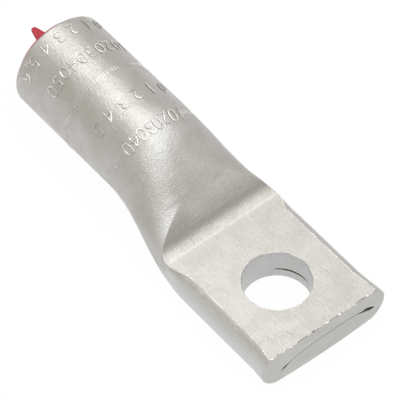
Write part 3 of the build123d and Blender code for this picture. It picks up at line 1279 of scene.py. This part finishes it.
def end_burr(tube):
    """Places of the ragged burr along the top of the sawn end."""
    side = Vector((1, 0, -0.2)).normalized()
    rise = Vector((0.45, 0, 1)).normalized()
    edge = tube.outside(tube.tip)
    for y in spread(edge[TOP_END].y + 0.1, edge[TOP_START].y - 0.1, 150):
        point = Vector((tube.tip - 0.03 + 0.05 * ripple(y, 0.5, 6), y, tube.thick - 0.01))
        width = 0.07 + 0.45 * max(0.0, ripple(y, 0.7, 15))
        yield point, side, width, rise, 0.03 + 0.30 * max(0.0, ripple(y, 0.6, 19))


def hole_burr(tube):
    """Places of the burr round the far half of the stud hole."""
    radius = tube.hole_r + 0.1
    for turn in [math.radians(degrees) for degrees in spread(-25, 195, 170)]:
        point = Vector((radius * math.cos(turn), radius * math.sin(turn), tube.thick - 0.02))
        side = Vector((math.cos(turn), math.sin(turn), 0))
        strength = 0.5 + 0.5 * ripple(turn, 0.35, 31)
        yield point, side, 0.07 + 0.10 * strength, Vector((0, 0, 1)), 0.03 + 0.07 * strength


# The cap


def cap_profile(cap, tube, x_in, x_out):
    """Section (x, radius) of the cap: hollow face, rounded flange, skirt and bowl."""
    x_end = tube.relief_end - cap.skirt_end_gap / MM
    skirt = tube.relief_r - cap.skirt_clearance / MM
    bowl = skirt - cap.skirt_wall / MM
    flange = cap.flange / MM / 2
    bend = cap.flange_round / MM
    profile = [(x_out + 0.12, 0.0), (x_out + 0.12, flange - 3.2), (x_out, flange - 2.8)]
    profile += [(x_out + bend * along, flange - bend * out) for along, out in quarter(4)]
    profile += [(x_in - 0.12, flange), (x_in, flange - 0.1), (x_in, skirt + 0.15), (x_in + 0.12, skirt)]
    profile += [(x_end - 1.2, skirt), (x_end - 0.25, skirt - 0.12), (x_end, skirt - 0.3)]
    profile += [(x_end, bowl + 0.1), (x_end - 0.1, bowl), (x_in + 0.4, bowl)]
    return profile + [(x_in, bowl - 0.4), (x_in, 0.0)]


def fin_piece(x_out, tube, reach):
    """Tapered fin with rounded edges, a flared root and a blunt tip."""
    base, tip = (2.65, 1.0), (0.45, 0.45)
    squareness, blunt_from, sunk = 0.32, 0.93, 0.15
    middle_y, middle_z = 0.75, tube.r + 0.5
    turns = [TURN * j / 48 for j in range(48)]
    rings = []
    for k in range(26):
        part = k / 25
        flared = 0.45 * math.exp(-part * 16)
        blunt = (part - blunt_from) / (1 - blunt_from)
        close = 1.0 if part < blunt_from else math.sqrt(max(0.02, 1 - blunt**2))
        half_y, half_z = [(mix(a, b, part) + flared) * close for a, b in zip(base, tip)]
        x = x_out + sunk - (reach + sunk) * part
        ring = []
        for turn in turns:
            c, s = math.cos(turn), math.sin(turn)
            y = math.copysign(abs(c) ** squareness, c) * half_y
            z = math.copysign(abs(s) ** squareness, s) * half_z
            ring.append(Vector((x, middle_y + y, middle_z + z)))
        rings.append(ring)
    bm = ring_grid(rings)
    close_ends(bm)
    return new_piece("end_cap_fin", bm, [cap_material("Red moulded plastic")])


# Operators


class PieceOperator:
    """What the operators share."""

    bl_options = {"REGISTER", "UNDO"}


class LUG_OT_skin(PieceOperator, bpy.types.Operator):
    """Build the metal skin of the lug in place of its solid"""

    bl_idname = "lug.skin"
    bl_label = "Lug skin"

    def execute(self, context):
        scene = context.scene
        skin = make_skin(Tube(scene.lug_shape), scene.lug_finish.ripple / MM)
        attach(skin, "lug")
        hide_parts("lug_body")
        return {"FINISHED"}


class LUG_OT_marks(PieceOperator, bpy.types.Operator):
    """Lay the tick rings and plain numerals on the barrel"""

    bl_idname = "lug.marks"
    bl_label = "Stamped marks"

    def execute(self, context):
        marks = context.scene.lug_marks
        tube = Tube(context.scene.lug_shape)
        tree = skin_tree()
        lift = marks.relief / MM
        pitch = marks.tick_pitch / MM / tube.r
        count = round(TURN / pitch)
        ring_x = tube.mouth + marks.tick_ring / MM
        long, wide = marks.tick_length / MM, marks.tick_width / MM
        round_ticks = []
        for i in range(count):
            uneven = ripple(i * 0.7, 1.0, marks.seed)
            tall = long * (1.0 + 0.35 * uneven)
            proud = lift * (1 + 0.5 * uneven)
            round_ticks.append((ring_x + 0.15 * uneven, TURN * i / count, tall, wide, proud))
        short_ticks = []
        for start, from_mouth, number in TICK_GROUPS:
            for i in range(number):
                tall = long * (1.2 + 0.3 * ripple_at(i * 0.9, start, 0, 1.0, marks.seed))
                turn = math.radians(start) + i * pitch
                short_ticks.append((tube.mouth + from_mouth, turn, tall, wide, lift))
        made = (
            tick_piece(tree, tube, "tick_ring", round_ticks),
            tick_piece(tree, tube, "tick_groups", short_ticks),
            numeral_piece(tree, tube, "numerals", marks.numeral / MM, lift),
        )
        for piece in made:
            shade(piece, 30)
            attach(piece, "lug")
        return {"FINISHED"}


class LUG_OT_burrs(PieceOperator, bpy.types.Operator):
    """Run thin burrs along the pressed edges, the sawn end and the stud hole"""

    bl_idname = "lug.burrs"
    bl_label = "Edge burrs"

    def execute(self, context):
        tube = Tube(context.scene.lug_shape)
        plain = burr_material("Burred mark", 1.0)
        made = (
            ridge_piece("near_edge_burr", side_burr(tube, TOP_END, -1.0), plain),
            ridge_piece("far_edge_burr", side_burr(tube, TOP_START, 1.0), plain),
            # The sawn end's burr is painted with the shade and glint of small chips
            ridge_piece("end_edge_burr", end_burr(tube), burr_material("Torn edge", 0.55)),
            ridge_piece("hole_edge_burr", hole_burr(tube), plain),
        )
        for piece in made:
            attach(piece, "lug")
        return {"FINISHED"}


class LUG_OT_cap(PieceOperator, bpy.types.Operator):
    """Build the red end cap with its pull fin in place of its solid"""

    bl_idname = "lug.cap"
    bl_label = "End cap"

    def execute(self, context):
        cap = context.scene.lug_cap
        tube = Tube(context.scene.lug_shape)
        x_in = tube.mouth - cap.seat_gap / MM
        x_out = x_in - cap.flange_thickness / MM
        profile = [(x, tube.r + radius) for x, radius in cap_profile(cap, tube, x_in, x_out)]
        bm = spun(profile, (0, 0, tube.r * MM), (1, 0, 0), 160)
        shell = new_piece("end_cap_shell", bm, [cap_material("Red moulded plastic")])
        for piece in (shell, fin_piece(x_out, tube, cap.fin_length / MM)):
            shade(piece, 32)
            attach(piece, "cap")
        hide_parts("end_cap")
        return {"FINISHED"}


class LUG_OT_paste(PieceOperator, bpy.types.Operator):
    """Build the plug of joint compound in place of its solid"""

    bl_idname = "lug.paste"
    bl_label = "Joint compound"

    def execute(self, context):
        paste = context.scene.lug_paste
        tube = Tube(context.scene.lug_shape)
        start = tube.bore_end + paste.start_gap / MM
        gap = paste.gap / MM
        around, rows = 96, 15
        front = tube.inside_ring(start + 0.25, gap + 0.02, around)
        middle = sum(front, Vector((0.0, 0.0, 0.0))) / around
        rings = []
        for part in [(k + 1) / rows for k in range(rows - 1)]:
            ring = []
            for j, point in enumerate(front):
                _, y, z = middle.lerp(point, part)
                smear = 0.35 * ripple_at(y, z, 0, 2.6, 41) + 0.14 * math.sin(9 * part + TURN * j / around)
                depth = 0.35 * part**6 + 0.2
                ring.append(Vector((start + depth + smear * (1 - part**4) * 0.6 + 0.05, y, z)))
            rings.append(ring)
        rings.append(front)
        stations = spread(start + 0.25, start + paste.length / MM, 24)
        rings += [tube.inside_ring(x, gap, around) for x in stations]
        bm = ring_grid(rings)
        close_ends(bm)
        piece = new_piece("joint_compound_plug", bm, [paste_material("Joint compound")])
        shade(piece, 40)
        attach(piece, "lug")
        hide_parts("joint_compound")
        return {"FINISHED"}


class LUG_OT_stage(PieceOperator, bpy.types.Operator):
    """Set the pale floor, the pale surround, the softbox and the camera"""

    bl_idname = "lug.stage"
    bl_label = "Stage"

    def execute(self, context):
        scene = context.scene
        stage = scene.lug_stage
        scene.view_settings.view_transform = "Standard"
        self.floor(stage)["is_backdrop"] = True
        self.surround(scene, stage)
        self.softbox(scene, stage)
        self.camera(scene, stage)
        return {"FINISHED"}

    def floor(self, stage):
        """Floor that the camera, metal and plastic see as plain white, with the part's shadow on it."""
        bm = bmesh.new()
        bmesh.ops.create_grid(bm, x_segments=8, y_segments=8, size=3.0)
        bmesh.ops.translate(bm, verts=bm.verts, vec=(0, 0, -0.0002))
        web = Finish("Pale floor", 0.9)
        web.set("Base Color", (0.86, 0.86, 0.86, 1.0))
        glow = web.node("Emission")
        web.feed(glow.inputs["Strength"], 1.0)
        rays = web.node("LightPath").outputs
        seen = web.maths("ADD", rays["Is Camera Ray"], rays["Is Glossy Ray"])
        seen = web.maths("ADD", seen, rays["Is Transmission Ray"])
        white = web.times(web.maths("MINIMUM", seen, 1.0), stage.floor_white)
        mixed = web.node("MixShader")
        for socket, source in zip(mixed.inputs, (white, web.shader.outputs[0], glow.outputs[0])):
            web.feed(socket, source)
        sink = next(n for n in web.tree.nodes if n.type == "OUTPUT_MATERIAL")
        web.feed(sink.inputs["Surface"], mixed.outputs[0])
        return new_piece("floor", bm, [web.material])

    def surround(self, scene, stage):
        world = bpy.data.worlds.new("Pale surround")
        world.use_nodes = True
        scene.world = world
        web = Web(world.node_tree)
        back = next(n for n in web.tree.nodes if n.type == "BACKGROUND")
        parts = web.node("SeparateXYZ")
        web.feed(parts.inputs[0], web.node("TexCoord").outputs["Generated"])
        side = web.remap(parts.outputs["Y"], -0.9, 0.9)
        web.feed(back.inputs["Color"], web.blend(side, (0.93, 0.91, 0.835, 1.0), (1.0, 0.99, 0.96, 1.0)))
        web.feed(back.inputs["Strength"], stage.surround)

    def softbox(self, scene, stage):
        middle = Vector((-0.03, 0.0, 0.01))
        toward, along = Vector((-0.115, 0.04, 1.0)), Vector((1.0, -0.06, 0.0))
        lamp = bpy.data.lights.new("Long softbox", "AREA")
        lamp.shape = "RECTANGLE"
        lamp.size = 1.5
        lamp.size_y = 0.62
        lamp.energy = stage.softbox
        box = bpy.data.objects.new("Long softbox", lamp)
        scene.collection.objects.link(box)
        back = toward.normalized()
        across = back.cross(along).normalized()
        turn = Matrix((across.cross(back), across, back)).transposed().to_4x4()
        box.matrix_world = Matrix.Translation(middle + back) @ turn

    def camera(self, scene, stage):
        data = bpy.data.cameras.new("Camera")
        data.sensor_width = 36.0
        data.sensor_fit = "HORIZONTAL"
        data.lens = stage.lens
        data.clip_start = 0.05
        data.clip_end = 20.0
        camera = bpy.data.objects.new("Camera", data)
        scene.collection.objects.link(camera)
        a, e, roll = stage.azimuth, stage.elevation, stage.roll
        forward = Vector((-math.sin(a) * math.cos(e), math.cos(a) * math.cos(e), -math.sin(e)))
        right = Vector((math.cos(a), math.sin(a), 0.0))
        up = right.cross(forward)
        level, lean = math.cos(roll), math.sin(roll)
        right, up = right * level + up * lean, up * level - right * lean
        turn = Matrix((right, up, -forward)).transposed().to_4x4()
        place = Vector(stage.target) - forward * stage.distance
        camera.matrix_world = Matrix.Translation(place) @ turn
        scene.camera = camera


class LUG_PT_panel(bpy.types.Panel):
    """Buttons for every piece of the lug, and its sizes and colours"""

    bl_idname = "LUG_PT_panel"
    bl_label = "Cable lug"
    bl_space_type = "VIEW_3D"
    bl_region_type = "UI"
    bl_category = "Lug"

    def draw(self, context):
        for operator in OPERATORS:
            self.layout.operator(operator.bl_idname)
        for key in SETTINGS:
            box = self.layout.box()
            values = getattr(context.scene, key)
            for name in values.bl_rna.properties.keys():
                if name not in ("rna_type", "name"):
                    box.prop(values, name)


SETTINGS = {
    "lug_shape": LugShape,
    "lug_finish": LugFinish,
    "lug_marks": MarkShape,
    "lug_cap": CapShape,
    "lug_paste": PasteShape,
    "lug_stage": StageSetup,
}
OPERATORS = (LUG_OT_skin, LUG_OT_marks, LUG_OT_burrs, LUG_OT_cap, LUG_OT_paste, LUG_OT_stage)


def register():
    for kind in (*SETTINGS.values(), *OPERATORS, LUG_PT_panel):
        bpy.utils.register_class(kind)
    for key, kind in SETTINGS.items():
        setattr(bpy.types.Scene, key, PointerProperty(type=kind))


def unregister():
    for key in SETTINGS:
        delattr(bpy.types.Scene, key)
    for kind in reversed((*SETTINGS.values(), *OPERATORS, LUG_PT_panel)):
        bpy.utils.unregister_class(kind)


def main():
    register()
    for operator in OPERATORS:
        family, name = operator.bl_idname.split(".")
        getattr(getattr(bpy.ops, family), name)()
    boxes = {"cad": cad_box, "visual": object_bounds()}
    {key: [list(corner) for corner in box] for key, box in boxes.items()}


if __name__ == "__main__":
    main()
